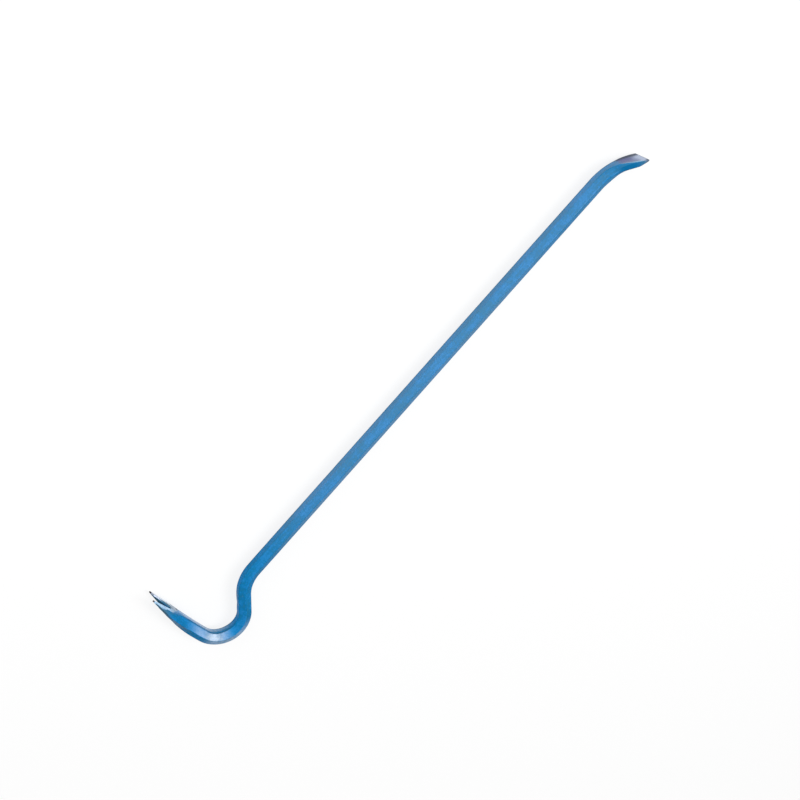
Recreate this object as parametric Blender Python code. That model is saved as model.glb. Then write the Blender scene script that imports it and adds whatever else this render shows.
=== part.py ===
"""Wrecking bar with a gooseneck nail claw and a chisel end, forged in one piece from hexagonal steel bar.

Units are metres and +Z is up. The bar lies on its side: its shank runs along X with the chisel at +X,
and both ends bend in the XY plane, with the claw's two points towards +Y. The origin is under the middle
of the bar, on the surface that it lies on.
"""
import math
from collections import namedtuple

import bmesh
import bpy
from mathutils import Vector

# Bar stock
OVERALL_LENGTH = 0.900
ACROSS_FLATS = 0.019
RIDGE_FLAT = 0.0010
EDGE_ROUND = 0.0012
EDGE_ROUND_MOST = 0.4

# Gooseneck, along the bar's centre line from the shank outwards
OFFSET_RADIUS = 0.0563
OFFSET_ANGLE = math.radians(43.9)
OFFSET_RUN = 0.0287
HOOK_RADIUS = 0.0350
HOOK_ANGLE = math.radians(134.7)
SWEEP_RADIUS = 0.357
SWEEP_ANGLE = math.radians(9.1)
CLAW_RUN = 0.0515

# How far each flat stands out in the middle of the hook, and how far that reaches both ways
HOOK_SWELL = 0.0011
HOOK_SWELL_REACH = 0.035

# Claw blade, at distances back from its two points
CLAW_TIP_THICKNESS = 0.0022
CLAW_ROOT_THICKNESS = 0.0084
CLAW_NECK_THICKNESS = 0.0164
CLAW_NECK_AT = 0.060
CLAW_WIDTH = 0.036
CLAW_WIDEST_AT = 0.042
CLAW_SHOULDER = 0.0040
CLAW_SHOULDER_AT = 0.033
CLAW_NECK_SHOULDER = 0.00985
CLAW_NECK_SHOULDER_AT = 0.054
CLAW_BLEND = 0.090
CLAW_FLARE = 1.5
PRONG_TIP_WIDTH = 0.0026

# V slot for nails, at the claw's outer face; its walls open towards the inner face
SLOT_DEPTH = 0.0355
SLOT_MOUTH = 0.0188
SLOT_ROOT_RADIUS = 0.0013
SLOT_DRAFT = math.radians(8.0)
CUT_OVERRUN = 0.001

# Chisel end, along the centre line from the shank outwards
CHISEL_RADIUS = 0.100
CHISEL_ANGLE = math.radians(30.7)
CHISEL_RUN = 0.0258

# Chisel blade, at distances back from its edge
CHISEL_EDGE_THICKNESS = 0.0025
CHISEL_WIDTH = 0.0338
CHISEL_GROUND_LENGTH = 0.032
CHISEL_GROUND_HEIGHT = 0.0061
CHISEL_GROUND_WIDTH = 0.0270
CHISEL_GROUND_TILT = math.radians(30.0)
CHISEL_NARROWING = 2.3
CHISEL_BEVEL_LENGTH = 0.014
CHISEL_BEVEL_DEPTH = 0.0048
CHISEL_HEEL_DEPTH = 0.0053
CHISEL_HEEL_AT = 0.030
CHISEL_BLEND = 0.063

# Fineness of the solid, and how near a face has to be to the chisel's edge to be its end face
STATION_STEP = 0.005
SLOT_ARC_STEPS = 6
END_FACE_REACH = 0.0002

# Finishes
PAINT_COLOUR = (0.048, 0.250, 0.533, 1.0)
PAINT_ROUGHNESS = 0.45
STEEL_COLOUR = (0.42, 0.41, 0.48, 1.0)
STEEL_ROUGHNESS = 0.35

# Half sizes of a section, from the centre line: upper and lower thickness, half width of the two flats,
# half width over the two sides, and how far each side face reaches up and down
Section = namedtuple("Section", "upper lower flat width side_up side_down")


def clear_scene():
    """Remove every object that is already there."""
    for old in list(bpy.data.objects):
        bpy.data.objects.remove(old, do_unlink=True)


def make_collection(name):
    """Give a new collection in the scene."""
    group = bpy.data.collections.new(name)
    bpy.context.scene.collection.children.link(group)
    return group


def make_material(name, colour, roughness, metallic):
    """Give a Principled material of one colour."""
    material = bpy.data.materials.new(name)
    material.use_nodes = True
    shader = material.node_tree.nodes["Principled BSDF"]
    shader.inputs["Base Color"].default_value = colour
    shader.inputs["Roughness"].default_value = roughness
    shader.inputs["Metallic"].default_value = metallic
    material.diffuse_color = colour
    return material


def smooth(knots, distance):
    """Read a smooth curve through knots of (distance, value, slope); it stays level past the last one."""
    for (start, low, rise), (end, high, fall) in zip(knots, knots[1:]):
        if distance < end:
            span = end - start
            u = (distance - start) / span
            blend = u * u * (3 - 2 * u)
            leave = u * (1 - u) ** 2
            arrive = u * u * (u - 1)
            return low + (high - low) * blend + span * (rise * leave + fall * arrive)
    return knots[-1][1]


def hexagon():
    """The plain bar: a regular hexagon with flats on the inside and outside of the bends."""
    corner = ACROSS_FLATS / math.sqrt(3)
    return Section(ACROSS_FLATS / 2, ACROSS_FLATS / 2, corner / 2, corner, RIDGE_FLAT / 2, RIDGE_FLAT / 2)


def swell(distance):
    """How far the hook's two flats stand out from the plain bar, at a distance from the claw's points."""
    middle = CLAW_RUN + SWEEP_RADIUS * SWEEP_ANGLE + HOOK_RADIUS * HOOK_ANGLE / 2
    start = middle - HOOK_SWELL_REACH
    end = middle + HOOK_SWELL_REACH
    return smooth([(0, 0, 0), (start, 0, 0), (middle, HOOK_SWELL, 0), (end, 0, 0)], distance)


def claw_section(distance):
    """The claw's section at a distance back from its points: it thickens and widens, then becomes the bar."""
    bar = hexagon()
    tip = CLAW_TIP_THICKNESS / 2
    root = CLAW_ROOT_THICKNESS / 2
    taper = (root - tip) / SLOT_DEPTH
    thicknesses = [
        (0, tip, taper), (SLOT_DEPTH, root, taper), (CLAW_NECK_AT, CLAW_NECK_THICKNESS / 2, taper),
        (CLAW_BLEND, bar.upper, 0),
    ]
    thickness = smooth(thicknesses, distance) + swell(distance)
    points = SLOT_MOUTH / 2 + PRONG_TIP_WIDTH
    widest = CLAW_WIDTH / 2
    flare = CLAW_FLARE * (widest - points) / CLAW_WIDEST_AT
    width = smooth([(0, points, flare), (CLAW_WIDEST_AT, widest, 0), (CLAW_BLEND, bar.width, 0)], distance)
    shoulders = [
        (0, tip, 0), (CLAW_SHOULDER_AT, CLAW_SHOULDER, 0), (CLAW_NECK_SHOULDER_AT, CLAW_NECK_SHOULDER, 0),
        (CLAW_BLEND, bar.width - bar.flat, 0),
    ]
    side = min(bar.side_up, thickness / 2)
    return Section(thickness, thickness, width - smooth(shoulders, distance), width, side, side)


def chisel_section(distance):
    """The chisel's section at a distance back from its edge: a squared wedge that becomes the bar."""
    bar = hexagon()
    edge = CHISEL_EDGE_THICKNESS / 2
    grind = (CHISEL_GROUND_HEIGHT - edge) / CHISEL_GROUND_LENGTH
    above = [
        (0, edge, grind), (CHISEL_GROUND_LENGTH, CHISEL_GROUND_HEIGHT, grind),
        (CHISEL_BLEND, bar.upper, 0),
    ]
    bevel = (CHISEL_BEVEL_DEPTH - edge) / CHISEL_BEVEL_LENGTH
    heel = (CHISEL_HEEL_DEPTH - CHISEL_BEVEL_DEPTH) / (CHISEL_HEEL_AT - CHISEL_BEVEL_LENGTH)
    below = [
        (0, edge, bevel), (CHISEL_BEVEL_LENGTH, CHISEL_BEVEL_DEPTH, bevel),
        (CHISEL_BEVEL_LENGTH, CHISEL_BEVEL_DEPTH, heel), (CHISEL_HEEL_AT, CHISEL_HEEL_DEPTH, heel),
        (CHISEL_BLEND, bar.lower, 0),
    ]
    narrowing = CHISEL_NARROWING * (CHISEL_GROUND_WIDTH - CHISEL_WIDTH) / 2 / CHISEL_GROUND_LENGTH
    widths = [
        (0, CHISEL_WIDTH / 2, 0), (CHISEL_GROUND_LENGTH, CHISEL_GROUND_WIDTH / 2, narrowing),
        (CHISEL_BLEND, bar.width, 0),
    ]
    square = smooth([(0, 1, 0), (CHISEL_BLEND, 0, 0)], distance)
    upper = smooth(above, distance)
    lower = smooth(below, distance)
    width = smooth(widths, distance)
    shoulder = (bar.width - bar.flat) * (1 - square) + edge / 2 * square
    side_up = bar.side_up + (upper - bar.side_up - edge / 2) * square
    side_down = bar.side_down + (lower - bar.side_down - edge / 2) * square
    return Section(upper, lower, width - shoulder, width, side_up, side_down)


def section_outline(section):
    """Points (across, up) of a section: an eight sided outline with every corner cut by the edge round."""
    right = [
        (section.upper, section.flat), (section.side_up, section.width),
        (-section.side_down, section.width), (-section.lower, section.flat),
    ]
    left = [(across, -up) for across, up in reversed(right)]
    corners = [Vector(corner) for corner in right + left]
    outline = []
    for i, corner in enumerate(corners):
        for neighbour in (corners[i - 1], corners[(i + 1) % len(corners)]):
            side = neighbour - corner
            step = min(EDGE_ROUND, side.length * EDGE_ROUND_MOST)
            outline.append(corner + side.normalized() * step)
    return outline


def travel(moves, distance):
    """Place and heading after a distance along moves of (length, turn), from the origin along +X."""
    place = Vector((0, 0, 0))
    heading = 0.0
    for length, turn in moves:
        step = min(distance, length)
        swing = turn * step / length
        if turn:
            radius = length / turn
            place.x += radius * (math.sin(heading + swing) - math.sin(heading))
            place.y += radius * (math.cos(heading) - math.cos(heading + swing))
        else:
            place += step * Vector((math.cos(heading), math.sin(heading), 0))
        heading += swing
        distance -= step
    return place, heading


def claw_moves():
    """The gooseneck's centre line, from the shank to the claw's points."""
    return [
        (OFFSET_RADIUS * OFFSET_ANGLE, OFFSET_ANGLE),
        (OFFSET_RUN, 0),
        (HOOK_RADIUS * HOOK_ANGLE, -HOOK_ANGLE),
        (SWEEP_RADIUS * SWEEP_ANGLE, -SWEEP_ANGLE),
        (CLAW_RUN, 0),
    ]


def chisel_moves():
    """The chisel end's centre line, from the shank to the edge."""
    return [(CHISEL_RADIUS * CHISEL_ANGLE, -CHISEL_ANGLE), (CHISEL_RUN, 0)]


def stations(moves):
    """Distances along the moves, a few millimetres apart, with one at each change of move."""
    marks = [0.0]
    for length, _ in moves:
        count = math.ceil(length / STATION_STEP)
        start = marks[-1]
        marks += [start + length * i / count for i in range(1, count + 1)]
    return marks


def sideways(heading):
    """The direction square to a heading, in the plane of the bends."""
    return Vector((-math.sin(heading), math.cos(heading), 0))


def section_ring(place, heading, section):
    """One section as points in space, square to the heading."""
    side = sideways(heading)
    return [place + side * across + Vector((0, 0, up)) for across, up in section_outline(section)]


def claw_rings():
    """Rings from the claw's points to the shank, whose end is at the origin."""
    moves = claw_moves()
    marks = stations(moves)
    rings = []
    for mark in reversed(marks):
        place, heading = travel(moves, mark)
        rings.append(section_ring(-place, heading, claw_section(marks[-1] - mark)))
    return rings


def chisel_rings():
    """Rings from the shank, whose end is at the origin, to the chisel's edge."""
    moves = chisel_moves()
    marks = stations(moves)
    rings = []
    for mark in marks:
        place, heading = travel(moves, mark)
        rings.append(section_ring(place, heading, chisel_section(marks[-1] - mark)))
    return rings


def shank_length(claw, chisel):
    """The straight length that the two forged ends leave of the overall length."""
    claw_reach = -min(point.x for ring in claw for point in ring)
    chisel_reach = max(point.x for ring in chisel for point in ring)
    return OVERALL_LENGTH - claw_reach - chisel_reach


def moved(rings, step):
    """The same rings, moved by a step."""
    return [[point + step for point in ring] for ring in rings]


def step_to_base(rings):
    """The step that brings the middle of the bar's underside to the origin."""
    points = [point for ring in rings for point in ring]
    low = [min(point[i] for point in points) for i in range(3)]
    high = [max(point[i] for point in points) for i in range(3)]
    return Vector((-(low[0] + high[0]) / 2, -(low[1] + high[1]) / 2, -low[2]))


def link_mesh(name, bm, group):
    """Turn a bmesh into a named object in a collection."""
    mesh = bpy.data.meshes.new(name)
    bm.to_mesh(mesh)
    bm.free()
    made = bpy.data.objects.new(name, mesh)
    group.objects.link(made)
    return made


def skin(rings):
    """A closed body over the rings, with a flat face on its first and last one."""
    bm = bmesh.new()
    loops = [[bm.verts.new(point) for point in ring] for ring in rings]
    for first, second in zip(loops, loops[1:]):
        for i, corner in enumerate(first):
            bm.faces.new((first[i - 1], second[i - 1], second[i], corner))
    bm.faces.new(loops[0])
    bm.faces.new(reversed(loops[-1]))
    return bm


def slot_outline(spread):
    """Points (back from the claw's tips, up) of the V slot, widened all round by a spread."""
    half_mouth = SLOT_MOUTH / 2
    centre = SLOT_DEPTH - SLOT_ROOT_RADIUS
    slope = math.acos(SLOT_ROOT_RADIUS / math.hypot(half_mouth, centre)) - math.atan2(centre, half_mouth)
    mouth = half_mouth + spread / math.cos(slope) + CUT_OVERRUN * math.tan(slope)
    radius = SLOT_ROOT_RADIUS + spread
    start = math.pi / 2 - slope
    angles = [start * (1 - 2 * i / SLOT_ARC_STEPS) for i in range(SLOT_ARC_STEPS + 1)]
    arc = [(centre + radius * math.cos(angle), radius * math.sin(angle)) for angle in angles]
    return [(-CUT_OVERRUN, mouth)] + arc + [(-CUT_OVERRUN, -mouth)]


def slot_cutter(tip, heading, group):
    """The tapered wedge that cuts the V slot into the claw."""
    back = Vector((math.cos(heading), math.sin(heading), 0))
    reach = CLAW_ROOT_THICKNESS / 2 + CUT_OVERRUN
    bm = bmesh.new()
    for level in (-reach, reach):
        spread = (level + CLAW_ROOT_THICKNESS / 2) * math.tan(SLOT_DRAFT)
        for along, up in slot_outline(spread):
            bm.verts.new(tip + back * along + sideways(heading) * level + Vector((0, 0, up)))
    bmesh.ops.convex_hull(bm, input=bm.verts)
    cutter = link_mesh("slot_cutter", bm, group)
    cutter.hide_render = True
    cutter.display_type = "WIRE"
    return cutter


def cut(body, cutter):
    """Take the cutter out of the body."""
    boolean = body.modifiers.new("nail_slot", "BOOLEAN")
    boolean.operation = "DIFFERENCE"
    boolean.solver = "EXACT"
    boolean.object = cutter


def bare_the_chisel(bar, tip, heading):
    """Give the chisel's ground face and end face the bare steel, the bar's second material."""
    back = Vector((-math.cos(heading), -math.sin(heading), 0))
    for face in bar.data.polygons:
        along = (face.center - tip).dot(back)
        facing = face.normal.dot(sideways(heading))
        ground = facing > math.cos(CHISEL_GROUND_TILT) and along < CHISEL_GROUND_LENGTH
        face.material_index = int(ground or along < END_FACE_REACH)


def build_bar():
    """Forge the bar: gooseneck and claw, straight shank, chisel end, then the nail slot."""
    parts = make_collection("crowbar")
    cutters = make_collection("cutters")
    claw = claw_rings()
    chisel = chisel_rings()
    shank = Vector((shank_length(claw, chisel), 0, 0))
    rings = claw + moved(chisel, shank)
    base = step_to_base(rings)
    bar = link_mesh("forged_bar", skin(moved(rings, base)), parts)
    bar.data.materials.append(make_material("blue_paint", PAINT_COLOUR, PAINT_ROUGHNESS, 0.0))
    bar.data.materials.append(make_material("ground_steel", STEEL_COLOUR, STEEL_ROUGHNESS, 1.0))
    edge, chisel_heading = travel(chisel_moves(), stations(chisel_moves())[-1])
    bare_the_chisel(bar, base + shank + edge, chisel_heading)
    tip, claw_heading = travel(claw_moves(), stations(claw_moves())[-1])
    cut(bar, slot_cutter(base - tip, claw_heading, cutters))


clear_scene()
build_bar()
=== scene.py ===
"""A wrecking bar, dressed: blue enamel over forged steel, bare on the chisel's ground face and the claw.

Metres, +Z up. The bar lies on its side as it does in the frame: shank along X, claw's points towards +Y.
A distance runs along the bar from the claw's points, and a reach runs back from the chisel's edge.
"""
import math
from collections import namedtuple

import bmesh
import bpy
from mathutils import Euler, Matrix, Vector, kdtree, noise


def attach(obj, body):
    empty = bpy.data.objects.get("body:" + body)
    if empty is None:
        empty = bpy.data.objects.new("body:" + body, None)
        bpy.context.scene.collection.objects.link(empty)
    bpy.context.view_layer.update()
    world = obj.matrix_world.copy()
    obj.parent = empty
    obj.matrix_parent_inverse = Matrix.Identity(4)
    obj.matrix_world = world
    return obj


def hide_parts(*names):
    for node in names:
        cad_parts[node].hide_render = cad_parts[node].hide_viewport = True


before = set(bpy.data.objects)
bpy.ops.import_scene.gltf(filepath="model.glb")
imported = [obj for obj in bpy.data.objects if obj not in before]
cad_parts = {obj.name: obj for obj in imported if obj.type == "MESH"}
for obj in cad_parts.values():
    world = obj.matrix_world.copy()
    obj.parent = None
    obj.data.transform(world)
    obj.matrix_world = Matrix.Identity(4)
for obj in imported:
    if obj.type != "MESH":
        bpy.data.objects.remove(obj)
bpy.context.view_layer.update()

MM = 1000

# The forging's sizes, as the solid has them. Each move of the route is (length, 0) or (radius, turn)
ACROSS_FLATS = 0.019
RIDGE_FLAT = 0.0010
CLAW_POINTS = Vector((-0.426365, 0.076316, 0.018000))
CLAW_HEADING = math.radians(-99.9)
ROUTE = [
    (0.0515, 0.0),
    (0.357, math.radians(9.1)),
    (0.0350, math.radians(134.7)),
    (0.0287, 0.0),
    (0.0563, math.radians(-43.9)),
    (0.697641, 0.0),
    (0.100, math.radians(-30.7)),
    (0.0258, 0.0),
]
HOOK_SWELL = 0.0011
HOOK_SWELL_AT = 0.1494
HOOK_SWELL_REACH = 0.035
CLAW_TIP_THICKNESS = 0.0022
CLAW_ROOT_THICKNESS = 0.0084
CLAW_NECK_THICKNESS = 0.0164
CLAW_NECK_AT = 0.060
CLAW_WIDTH = 0.036
CLAW_WIDEST_AT = 0.042
CLAW_SHOULDER = 0.0040
CLAW_SHOULDER_AT = 0.033
CLAW_NECK_SHOULDER = 0.00985
CLAW_NECK_SHOULDER_AT = 0.054
CLAW_BLEND = 0.090
CLAW_FLARE = 1.5
PRONG_TIP_WIDTH = 0.0026
SLOT_DEPTH = 0.0355
SLOT_MOUTH = 0.0188
SLOT_ROOT_RADIUS = 0.0013
SLOT_DRAFT = math.radians(8.0)
CHISEL_EDGE_THICKNESS = 0.0025
CHISEL_WIDTH = 0.0338
CHISEL_GROUND_LENGTH = 0.032
CHISEL_GROUND_HEIGHT = 0.0061
CHISEL_GROUND_WIDTH = 0.0270
CHISEL_NARROWING = 2.3
CHISEL_BEVEL_LENGTH = 0.014
CHISEL_BEVEL_DEPTH = 0.0048
CHISEL_HEEL_DEPTH = 0.0053
CHISEL_HEEL_AT = 0.030
CHISEL_BLEND = 0.063

# How finely the forging is drawn
EDGE_ROUND = 0.0012
EDGE_ROUND_MOST = 0.4
ROUND_STEPS = 4
SIDE_POINTS = (4, 3, 4, 7, 4, 3, 4, 7)
END_STEP = 0.0016
SHANK_STEP = 0.004
FINE_HOOK_END = 0.290
FINE_CHISEL_REACH = 0.085
SHARP_ANGLE = math.radians(38)

# Half sizes of a section: across to the inner and the outer flat, up to the flats' edges and to the ridges,
# and across the ridges' own small flats to the inner and the outer side
Section = namedtuple("Section", "upper lower flat width side_up side_down")


def smooth(knots, distance):
    """Read a smooth curve through knots of (distance, value, slope); it stays level past the last one."""
    for (start, low, rise), (end, high, fall) in zip(knots, knots[1:]):
        if distance < end:
            span = end - start
            u = (distance - start) / span
            blend = u * u * (3 - 2 * u)
            return low + (high - low) * blend + span * u * (1 - u) * (rise * (1 - u) - fall * u)
    return knots[-1][1]


def hexagon():
    corner = ACROSS_FLATS / math.sqrt(3)
    return Section(ACROSS_FLATS / 2, ACROSS_FLATS / 2, corner / 2, corner, RIDGE_FLAT / 2, RIDGE_FLAT / 2)


def claw_section(distance):
    """The section at a distance back from the claw's points."""
    bar = hexagon()
    tip = CLAW_TIP_THICKNESS / 2
    root = CLAW_ROOT_THICKNESS / 2
    taper = (root - tip) / SLOT_DEPTH
    thicknesses = [
        (0, tip, taper), (SLOT_DEPTH, root, taper), (CLAW_NECK_AT, CLAW_NECK_THICKNESS / 2, taper),
        (CLAW_BLEND, bar.upper, 0),
    ]
    thickness = smooth(thicknesses, distance)
    points = SLOT_MOUTH / 2 + PRONG_TIP_WIDTH
    widest = CLAW_WIDTH / 2
    flare = CLAW_FLARE * (widest - points) / CLAW_WIDEST_AT
    width = smooth([(0, points, flare), (CLAW_WIDEST_AT, widest, 0), (CLAW_BLEND, bar.width, 0)], distance)
    shoulders = [
        (0, tip, 0), (CLAW_SHOULDER_AT, CLAW_SHOULDER, 0), (CLAW_NECK_SHOULDER_AT, CLAW_NECK_SHOULDER, 0),
        (CLAW_BLEND, bar.width - bar.flat, 0),
    ]
    side = min(bar.side_up, thickness / 2)
    return Section(thickness, thickness, width - smooth(shoulders, distance), width, side, side)


def chisel_section(reach):
    """The section at a reach back from the chisel's edge."""
    bar = hexagon()
    edge = CHISEL_EDGE_THICKNESS / 2
    grind = (CHISEL_GROUND_HEIGHT - edge) / CHISEL_GROUND_LENGTH
    above = [
        (0, edge, grind), (CHISEL_GROUND_LENGTH, CHISEL_GROUND_HEIGHT, grind),
        (CHISEL_BLEND, bar.upper, 0),
    ]
    bevel = (CHISEL_BEVEL_DEPTH - edge) / CHISEL_BEVEL_LENGTH
    heel = (CHISEL_HEEL_DEPTH - CHISEL_BEVEL_DEPTH) / (CHISEL_HEEL_AT - CHISEL_BEVEL_LENGTH)
    below = [
        (0, edge, bevel), (CHISEL_BEVEL_LENGTH, CHISEL_BEVEL_DEPTH, bevel),
        (CHISEL_BEVEL_LENGTH, CHISEL_BEVEL_DEPTH, heel), (CHISEL_HEEL_AT, CHISEL_HEEL_DEPTH, heel),
        (CHISEL_BLEND, bar.lower, 0),
    ]
    narrowing = CHISEL_NARROWING * (CHISEL_GROUND_WIDTH - CHISEL_WIDTH) / 2 / CHISEL_GROUND_LENGTH
    widths = [
        (0, CHISEL_WIDTH / 2, 0), (CHISEL_GROUND_LENGTH, CHISEL_GROUND_WIDTH / 2, narrowing),
        (CHISEL_BLEND, bar.width, 0),
    ]
    square = smooth([(0, 1, 0), (CHISEL_BLEND, 0, 0)], reach)
    upper = smooth(above, reach)
    lower = smooth(below, reach)
    width = smooth(widths, reach)
    shoulder = (bar.width - bar.flat) * (1 - square) + edge / 2 * square
    side_up = bar.side_up + (upper - bar.side_up - edge / 2) * square
    side_down = bar.side_down + (lower - bar.side_down - edge / 2) * square
    return Section(upper, lower, width - shoulder, width, side_up, side_down)


def arc_length(move):
    """The centre line's length along one move of the route."""
    size, turn = move
    return abs(turn) * size if turn else size


ROUTE_LENGTH = sum(arc_length(move) for move in ROUTE)


def walk(distance):
    """Place and heading of the centre line at a distance from the claw's points."""
    place = CLAW_POINTS.copy()
    heading = CLAW_HEADING
    for move in ROUTE:
        size, turn = move
        length = arc_length(move)
        step = min(distance, length)
        if turn:
            swing = turn * step / length
            radius = math.copysign(size, turn)
            place.x += radius * (math.sin(heading + swing) - math.sin(heading))
            place.y += radius * (math.cos(heading) - math.cos(heading + swing))
            heading += swing
        else:
            place += step * forwards(heading)
        distance -= step
    return place, heading


def forwards(heading):
    """The way along the bar, from the claw to the chisel."""
    return Vector((math.cos(heading), math.sin(heading), 0))


def sideways(heading):
    """The way that the inside of the hook faces."""
    return Vector((-math.sin(heading), math.cos(heading), 0))


def swell(distance):
    """How far the hook's two flats stand out from the plain bar."""
    away = abs(distance - HOOK_SWELL_AT)
    return smooth([(0, HOOK_SWELL, 0), (HOOK_SWELL_REACH, 0, 0)], away)


def section_at(distance):
    """The bar's section at a distance from the claw's points."""
    reach = ROUTE_LENGTH - distance
    if reach < CHISEL_BLEND:
        return chisel_section(reach)
    section = claw_section(distance) if distance < CLAW_BLEND else hexagon()
    more = swell(distance)
    return section._replace(upper=section.upper + more, lower=section.lower + more)


def corners_of(section):
    """The section's eight corners as (across, up), once round."""
    right = [
        (section.upper, section.flat), (section.side_up, section.width),
        (-section.side_down, section.width), (-section.lower, section.flat),
    ]
    left = [(across, -up) for across, up in reversed(right)]
    return [Vector(corner) for corner in right + left]


def outline(section):
    """Points (across, up) round a section, with its corners rounded and its sides divided."""
    corners = corners_of(section)
    arcs = []
    for i, corner in enumerate(corners):
        cuts = []
        for neighbour in (corners[i - 1], corners[(i + 1) % len(corners)]):
            side = neighbour - corner
            cuts.append(corner + side.normalized() * min(EDGE_ROUND, side.length * EDGE_ROUND_MOST))
        ts = [step / ROUND_STEPS for step in range(ROUND_STEPS + 1)]
        arcs.append([cuts[0] * (1 - t) ** 2 + corner * 2 * t * (1 - t) + cuts[1] * t * t for t in ts])
    points = []
    for i, arc in enumerate(arcs):
        points += arc
        start, end = arc[-1], arcs[(i + 1) % len(arcs)][0]
        count = SIDE_POINTS[i] + 1
        points += [start.lerp(end, step / count) for step in range(1, count)]
    return points


def stations():
    """Distances of the rings along the bar, closer together over the forged ends than on the shank."""
    stretches = [
        (FINE_HOOK_END, END_STEP), (ROUTE_LENGTH - FINE_CHISEL_REACH, SHANK_STEP),
        (ROUTE_LENGTH - CHISEL_BEVEL_LENGTH, END_STEP), (ROUTE_LENGTH, END_STEP),
    ]
    marks = [0.0]
    for end, step in stretches:
        start = marks[-1]
        count = math.ceil((end - start) / step)
        marks += [start + (end - start) * i / count for i in range(1, count + 1)]
    return marks


# Marks of the forge and the grinding wheel. Dents press deep up to the first length, then fade to the second
HOLLOW_DEPTH = 0.0006
HOLLOW_FULL_FROM = 0.010
HOLLOW_FULL_TO = 0.026
HOLLOW_END = 0.040
FACE_SLACK = 1e-6
DENT_SHANK = 0.00005
DENT_ENDS = 0.00016
DENTED_HOOK = (0.22, 0.30)
DENTED_CHISEL = (0.06, 0.10)
COARSE_DENT_SCALE = 60
COARSE_DENT_SHARE = 0.8
FINE_DENT_SCALE = 170
FINE_DENT_SHARE = 0.35
FINE_DENT_SHIFT = Vector((7, 3, 5))
NECK_DENT_AT = 0.204
NECK_DENT_DEPTH = 0.0005
NECK_DENT_REACH = 0.005


def hollow(reach, up, section):
    """How deep the wheel hollowed the chisel's ground face, at a reach from its edge."""
    knots = [(0, 0, 0), (HOLLOW_FULL_FROM, 1, 0), (HOLLOW_FULL_TO, 1, 0), (HOLLOW_END, 0, 0)]
    return HOLLOW_DEPTH * smooth(knots, reach) * max(0.0, 1 - (up / section.flat) ** 2)


def fading(length, full_to, none_from):
    """1 up to one length and 0 from another, smooth between."""
    return smooth([(0, 1, 0), (full_to, 1, 0), (none_from, 0, 0)], length)


def dent(point, distance):
    """How far the hammer marks press a point in."""
    ends = fading(distance, *DENTED_HOOK) + fading(ROUTE_LENGTH - distance, *DENTED_CHISEL)
    size = DENT_SHANK + (DENT_ENDS - DENT_SHANK) * min(1.0, ends)
    coarse = noise.noise(point * COARSE_DENT_SCALE)
    fine = noise.noise(point * FINE_DENT_SCALE + FINE_DENT_SHIFT)
    return size * (1 + COARSE_DENT_SHARE * coarse + FINE_DENT_SHARE * fine)


def ring(distance):
    """One ring of points round the bar."""
    place, heading = walk(distance)
    section = section_at(distance)
    reach = ROUTE_LENGTH - distance
    side = sideways(heading)
    points = []
    for across, up in outline(section):
        if reach < HOLLOW_END and across > section.upper - FACE_SLACK:
            across -= hollow(reach, up, section)
        if across > 0:
            across -= NECK_DENT_DEPTH * math.exp(-((distance - NECK_DENT_AT) / NECK_DENT_REACH) ** 2)
        points.append(place + side * across + Vector((0, 0, up)))
    return points


def skin(rings):
    """A closed body over rings of points, with its rings of vertices."""
    bm = bmesh.new()
    loops = [[bm.verts.new(point) for point in loop] for loop in rings]
    for first, second in zip(loops, loops[1:]):
        for i, corner in enumerate(first):
            bm.faces.new((first[i - 1], second[i - 1], second[i], corner))
    bm.faces.new(loops[0])
    bm.faces.new(reversed(loops[-1]))
    bmesh.ops.recalc_face_normals(bm, faces=bm.faces)
    return bm, loops


def add_object(name, bm):
    mesh = bpy.data.meshes.new(name)
    bm.to_mesh(mesh)
    bm.free()
    made = bpy.data.objects.new(name, mesh)
    bpy.context.scene.collection.objects.link(made)
    return made


# The V slot. A level of 1 is the claw's face, and the slot's edges are broken from the edge level outwards
SLOT_LEAD = 0.001
SLOT_WALL_STEPS = 14
SLOT_ARC_STEPS = 10
SLOT_EDGE_BREAK = 0.0004
SLOT_EDGE_LEVEL = 0.75
SLOT_LEVELS = (-1.9, -1.0, -SLOT_EDGE_LEVEL, SLOT_EDGE_LEVEL, 1.0, 1.9)
SLOT_CENTRE = SLOT_DEPTH - SLOT_ROOT_RADIUS
SLOT_SLOPE = (
    math.acos(SLOT_ROOT_RADIUS / math.hypot(SLOT_MOUTH / 2, SLOT_CENTRE))
    - math.atan2(SLOT_CENTRE, SLOT_MOUTH / 2)
)


def slot_outline(spread):
    """Points (back from the claw's points, up) round the slot, widened by a spread."""
    mouth = SLOT_MOUTH / 2 + spread / math.cos(SLOT_SLOPE) + SLOT_LEAD * math.tan(SLOT_SLOPE)
    radius = SLOT_ROOT_RADIUS + spread
    start = math.pi / 2 - SLOT_SLOPE
    angles = [start * (1 - 2 * i / SLOT_ARC_STEPS) for i in range(SLOT_ARC_STEPS + 1)]
    arc = [Vector((SLOT_CENTRE + radius * math.cos(a), radius * math.sin(a))) for a in angles]
    first = Vector((-SLOT_LEAD, mouth))
    wall = [first.lerp(arc[0], i / SLOT_WALL_STEPS) for i in range(SLOT_WALL_STEPS)]
    mirrored = [Vector((p.x, -p.y)) for p in reversed(wall)]
    return wall + arc + mirrored


def drafted(across):
    """How far the draft moves each wall of the slot out, at a place across the claw."""
    return (across + CLAW_ROOT_THICKNESS / 2) * math.tan(SLOT_DRAFT)


def slot_gap(distance, across, up):
    """How far a point of the claw is from the slot's wall; negative inside the slot."""
    if distance > SLOT_CENTRE:
        return math.hypot(distance - SLOT_CENTRE, up) - SLOT_ROOT_RADIUS - drafted(across)
    half = SLOT_MOUTH / 2 - distance * math.tan(SLOT_SLOPE)
    return (abs(up) - half) * math.cos(SLOT_SLOPE) - drafted(across)


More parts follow.
